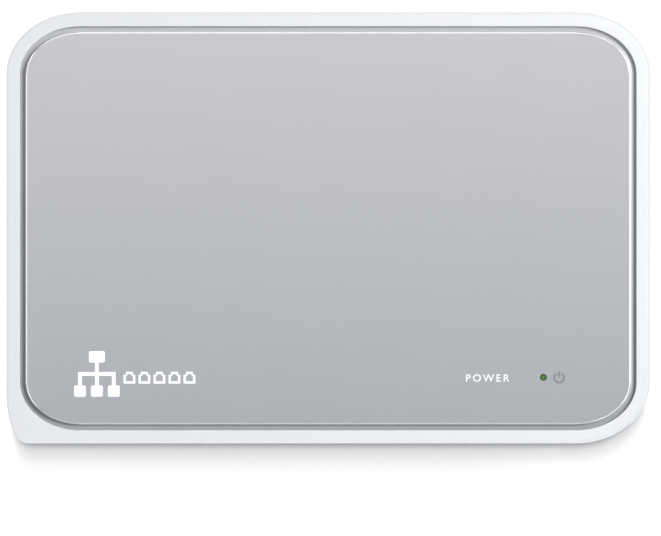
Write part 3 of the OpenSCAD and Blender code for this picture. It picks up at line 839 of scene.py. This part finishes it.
def make_word(name, word, height, place, slot, ink, spacing=1.0):
    """A generic word or number in the built-in plain typeface; place carries it from the origin."""
    curve = bpy.data.curves.new(name, "FONT")
    curve.body = word
    curve.space_character = spacing
    curve.offset = 0.008
    curve.extrude = INK_T / 2
    text = bpy.data.objects.new(name, curve)
    bpy.context.scene.collection.objects.link(text)
    bpy.context.view_layer.update()
    mesh = bpy.data.meshes.new_from_object(text.evaluated_get(bpy.context.evaluated_depsgraph_get()))
    bpy.data.objects.remove(text)
    low = Vector([min(v.co[i] for v in mesh.vertices) for i in range(3)])
    high = Vector([max(v.co[i] for v in mesh.vertices) for i in range(3)])
    scale = height / (high.y - low.y)
    size = Matrix.Diagonal((scale * MM, scale * MM, MM, 1))
    mesh.transform(place @ size @ Matrix.Translation(-(low + high) / 2))
    bm = bmesh.new()
    bm.from_mesh(mesh)
    bmesh.ops.remove_doubles(bm, verts=bm.verts, dist=WELD * MM)
    bmesh.ops.beautify_fill(bm, faces=bm.faces, edges=bm.edges)
    finish_print(bm, name, ink, slot)


def make_label_print():
    """Wordless marks on the base label: a frame, rows of bars and the sign for direct current."""
    lo, hi = mm_box("rating_label")
    depth = INK_Z + INK_T - lo.z
    bm = bmesh.new()
    border = [rectangle((lo.x + inset, lo.y + inset), (hi.x - inset, hi.y - inset)) for inset in (1.1, 1.3)]
    add_band(bm, *border, INK_Z, INK_Z + INK_T)
    left_x = lo.x + 4
    top_y = hi.y - 5
    row_pitch = 2.6
    for row, length in enumerate((19, 14, 16, 10)):
        add_print(bm, round_box(left_x + length / 2, top_y - row * row_pitch, length, 0.9, 0.3))
    sign_x = hi.x - 7
    sign_y = lo.y + 6
    dash = 1.0
    line = 0.4
    add_print(bm, rectangle((sign_x - 2 * dash, sign_y + line), (sign_x + 2 * dash, sign_y + 2 * line)))
    for step in (-1, 0, 1):
        x = sign_x + step * 1.5 * dash
        add_print(bm, rectangle((x - dash / 2, sign_y - line), (x + dash / 2, sign_y)))
    bmesh.ops.translate(bm, verts=bm.verts, vec=(0, 0, -depth * MM))
    finish_print(bm, "label_print", "grey_ink", "label_film")


PORT_NUMBER_H = 1.4


def make_port_numbers():
    """Numbers on the front wall, over the sockets."""
    z = (block_hi.z + WINDOW_GAP + rim_z - TOP_EDGE_R) / 2
    slope = DRAFT / (rim_z - TOP_EDGE_R - parting_z)
    face_y = -half_d + slope * (z - parting_z)
    upright = Matrix.Rotation(math.radians(90) - math.atan(slope), 4, "X")
    for i in range(1, PORTS + 1):
        lo, hi = mm_box(f"port_{i}_contacts")
        place = Matrix.Translation(Vector(((lo.x + hi.x) / 2, face_y, z)) * MM) @ upright
        make_word(f"port_number_{i}", str(i), PORT_NUMBER_H, place, "white_plastic", "pale_ink")


def make_panel_marks():
    """The row of marks along the panel's front edge, in line with the power light."""
    row_y = light_at.y - 0.05
    make_network_mark(-37.0, row_y + 0.6, size=7.3)
    make_socket_marks(-27.0, row_y, PORTS, pitch=2.4, size=1.9)
    word_at = Vector((light_at.x - 8.9, row_y - 0.05, INK_Z + INK_T / 2))
    place = Matrix.Translation(word_at * MM)
    make_word("power_word", "POWER", 1.2, place, "grey_panel", "white_ink", spacing=1.35)
    make_power_sign(light_at.x + 2.5, row_y, r=0.92, line=0.3)


# ------------------------------------------------------------------ carried-over nodes

def tidy_edges(obj, width, angle=35):
    """Rounds a CAD node's edges with modifiers only, so that its own mesh stays as it was."""
    flat = obj.modifiers.new("flat", "DECIMATE")
    flat.decimate_type = "DISSOLVE"
    flat.angle_limit = math.radians(1)
    edge = obj.modifiers.new("edge", "BEVEL")
    edge.width = width * MM
    edge.segments = 2
    edge.limit_method = "ANGLE"
    edge.angle_limit = math.radians(angle)
    edge.harden_normals = True


EDGES = {
    "jack_housing": 0.12, "dc_jack_housing": 0.12, "circuit_board": 0.05, "switch_chip": 0.12,
    "quad_transformer": 0.25, "single_transformer": 0.25, "regulator_chip": 0.1,
    "protection_diode": 0.12, "crystal_base": 0.1, "rating_label": 0.04,
    "case_screws": 0.08, "board_screws": 0.08, "chip_resistors": 0.05, "chip_capacitors": 0.08,
    "power_led": 0.1, "dc_jack_terminals": 0.05,
}
EDGES.update({foot: 0.15 for foot in FEET})
EDGES.update({f"port_{i}_led": 0.08 for i in range(1, PORTS + 1)})


def dress_cad_nodes():
    """Gives each carried-over node its material, joins its points and rounds its edges."""
    slots = {entry["node"]: entry["material_slot"] for entry in frame["record"]["subparts"]}
    for name, obj in frame["nodes"].items():
        obj.data.materials.clear()
        obj.data.materials.append(materials[slots[name]])
        weld_points(obj)
        if name in EDGES:
            tidy_edges(obj, EDGES[name])


# ------------------------------------------------------------------ stage

def make_floor():
    """White paper that shades near the object and is evenly lit further out, up to the horizon."""
    bm = bmesh.new()
    bmesh.ops.create_grid(bm, x_segments=8, y_segments=8, size=60.0)
    floor = finish_mesh(bm, "studio_floor")
    n = moulded("studio_paper", (0.93, 0.93, 0.93), 0.9, grain=0.02, mottle=0.003, scale=400)
    n.set("Specular IOR Level", 0.0)
    apart = n.add("ShaderNodeVectorMath", operation="LENGTH")
    n.link(n.place, apart.inputs[0])
    far = n.add("ShaderNodeMapRange", interpolation_type="SMOOTHSTEP")
    far.inputs["From Min"].default_value = 0.25
    far.inputs["From Max"].default_value = 0.6
    n.link(apart.outputs["Value"], far.inputs["Value"])
    glow = n.add("ShaderNodeEmission")
    glow.inputs["Color"].default_value = (1.0, 1.0, 1.0, 1.0)
    blend = n.add("ShaderNodeMixShader")
    n.link(far.outputs["Result"], blend.inputs["Fac"])
    n.link(n.shader.outputs["BSDF"], blend.inputs[1])
    n.link(glow.outputs["Emission"], blend.inputs[2])
    n.link(blend.outputs["Shader"], n.tree.nodes["Material Output"].inputs["Surface"])
    floor.data.materials.append(n.material)
    return floor


def group(name, objects):
    """A collection that a lamp can be linked to, so that it lights only these objects."""
    collection = bpy.data.collections.new(name)
    for obj in objects:
        collection.objects.link(obj)
    return collection


def place_lamp(name, lamp, place, target, lit):
    obj = bpy.data.objects.new(name, lamp)
    obj.location = place
    obj.rotation_euler = (Vector(target) - Vector(place)).to_track_quat("-Z", "Y").to_euler()
    obj.visible_camera = False
    obj.light_linking.receiver_collection = lit
    bpy.context.scene.collection.objects.link(obj)


def add_area(name, place, target, size, radiance, lit):
    """A rectangular lamp that faces target; radiance is what its face gives off."""
    lamp = bpy.data.lights.new(name, "AREA")
    lamp.shape = "RECTANGLE"
    lamp.size, lamp.size_y = size
    lamp.energy = radiance * math.pi * size[0] * size[1]
    place_lamp(name, lamp, place, target, lit)


def add_sun(name, azimuth, elevation, spread, level, lit):
    """A far soft lamp; level is its share of a white level surface's brightness."""
    lamp = bpy.data.lights.new(name, "SUN")
    lamp.angle = math.radians(spread)
    up = math.sin(math.radians(elevation))
    lamp.energy = level * math.pi / up
    turn = math.radians(azimuth)
    flat = math.cos(math.radians(elevation))
    place_lamp(name, lamp, (flat * math.cos(turn), flat * math.sin(turn), up), (0, 0, 0), lit)


LAMP_HEIGHT = 2.0


def floor_lamp(name, y_from, y_to, level, lit):
    """An overhead strip along Y; level is its share of a white floor's brightness."""
    width = 0.05
    length = y_to - y_from
    place = Vector((0, (y_from + y_to) / 2, LAMP_HEIGHT))
    up = LAMP_HEIGHT / place.length
    radiance = level * math.pi * place.length_squared / (up * width * length)
    add_area(name, place, (0, 0, 0), (width, length), radiance, lit)


def make_lights(floor):
    """Strips light the paper, a high lamp the case and a soft sun the panel; pale cards stand around."""
    on_panel = {"top_panel_looks", "network_sign", "socket_signs", "power_word", "power_sign",
                "power_light_pipe"}
    meshes = [o for o in bpy.context.scene.objects if o.type == "MESH" and o is not floor]
    panel = group("lit_panel", [o for o in meshes if o.name in on_panel])
    case = group("lit_case", [o for o in meshes if o.name not in on_panel])
    both = group("lit_both", meshes)
    paper = group("lit_paper", [floor])
    centre = (0.0, 0.0, top_z * MM)
    floor_lamp("paper_near", 0.03, 0.13, 0.38, paper)
    floor_lamp("paper_middle", 0.13, 0.40, 0.32, paper)
    floor_lamp("paper_far", 0.40, 1.10, 0.30, paper)
    add_area("case_lamp", (0.27, 0.14, 0.72), centre, (0.35, 0.35), 10.3, case)
    add_area("front_fill", (0.0, -1.0, 0.35), centre, (1.4, 0.6), 1.8, case)
    add_sun("panel_sun", 20, 43, 30, 0.95, panel)
    wide = (1.6, 0.36)
    narrow = (1.0, 0.36)
    cards = (
        ("right", 0, wide, 1.1, panel), ("right_low", 0, wide, 0.4, case), ("back", 90, wide, 1.4, both),
        ("left", 180, wide, 1.7, both), ("front", 270, wide, 0.5, both),
        ("front_right", 315, narrow, 0.9, panel),
    )
    for name, azimuth, size, level, lit in cards:
        turn = math.radians(azimuth)
        add_area(name + "_card", (math.cos(turn), math.sin(turn), 0.6), centre, size, level, lit)


def make_world():
    """Even pale light all round, and a clean pale backdrop for the camera."""
    world = bpy.data.worlds.new("studio")
    bpy.context.scene.world = world
    world.use_nodes = True
    tree = world.node_tree
    output = tree.nodes["World Output"]
    dome = tree.nodes["Background"]
    dome.inputs["Color"].default_value = (0.97, 0.985, 1.0, 1.0)
    dome.inputs["Strength"].default_value = 0.35
    backdrop = tree.nodes.new("ShaderNodeBackground")
    backdrop.inputs["Color"].default_value = (1.0, 1.0, 1.0, 1.0)
    seen = tree.nodes.new("ShaderNodeLightPath")
    pick = tree.nodes.new("ShaderNodeMixShader")
    tree.links.new(seen.outputs["Is Camera Ray"], pick.inputs["Fac"])
    tree.links.new(dome.outputs["Background"], pick.inputs[1])
    tree.links.new(backdrop.outputs["Background"], pick.inputs[2])
    tree.links.new(pick.outputs["Shader"], output.inputs["Surface"])


CAMERA_HEIGHT = 0.9
FRAME_WIDTH = 105.7                 # what the picture spans across the rim, in millimetres
CAMERA_SHIFT = Vector((0.36, -6.46))


def make_camera():
    """Looks straight down with a long lens; up in the picture is the back."""
    camera = bpy.data.cameras.new("camera")
    camera.sensor_width = 36.0
    camera.lens = camera.sensor_width * (CAMERA_HEIGHT - top_z * MM) / (FRAME_WIDTH * MM)
    obj = bpy.data.objects.new("camera", camera)
    obj.location = (CAMERA_SHIFT.x * MM, CAMERA_SHIFT.y * MM, CAMERA_HEIGHT)
    bpy.context.scene.collection.objects.link(obj)
    bpy.context.scene.camera = obj


# ------------------------------------------------------------------ build

dress_cad_nodes()
make_top_shell()
make_bottom_shell()
make_panel()
make_panel_marks()
make_port_numbers()
make_label_print()
make_lights(make_floor())
make_world()
make_camera()
bpy.context.scene.view_settings.view_transform = "Standard"
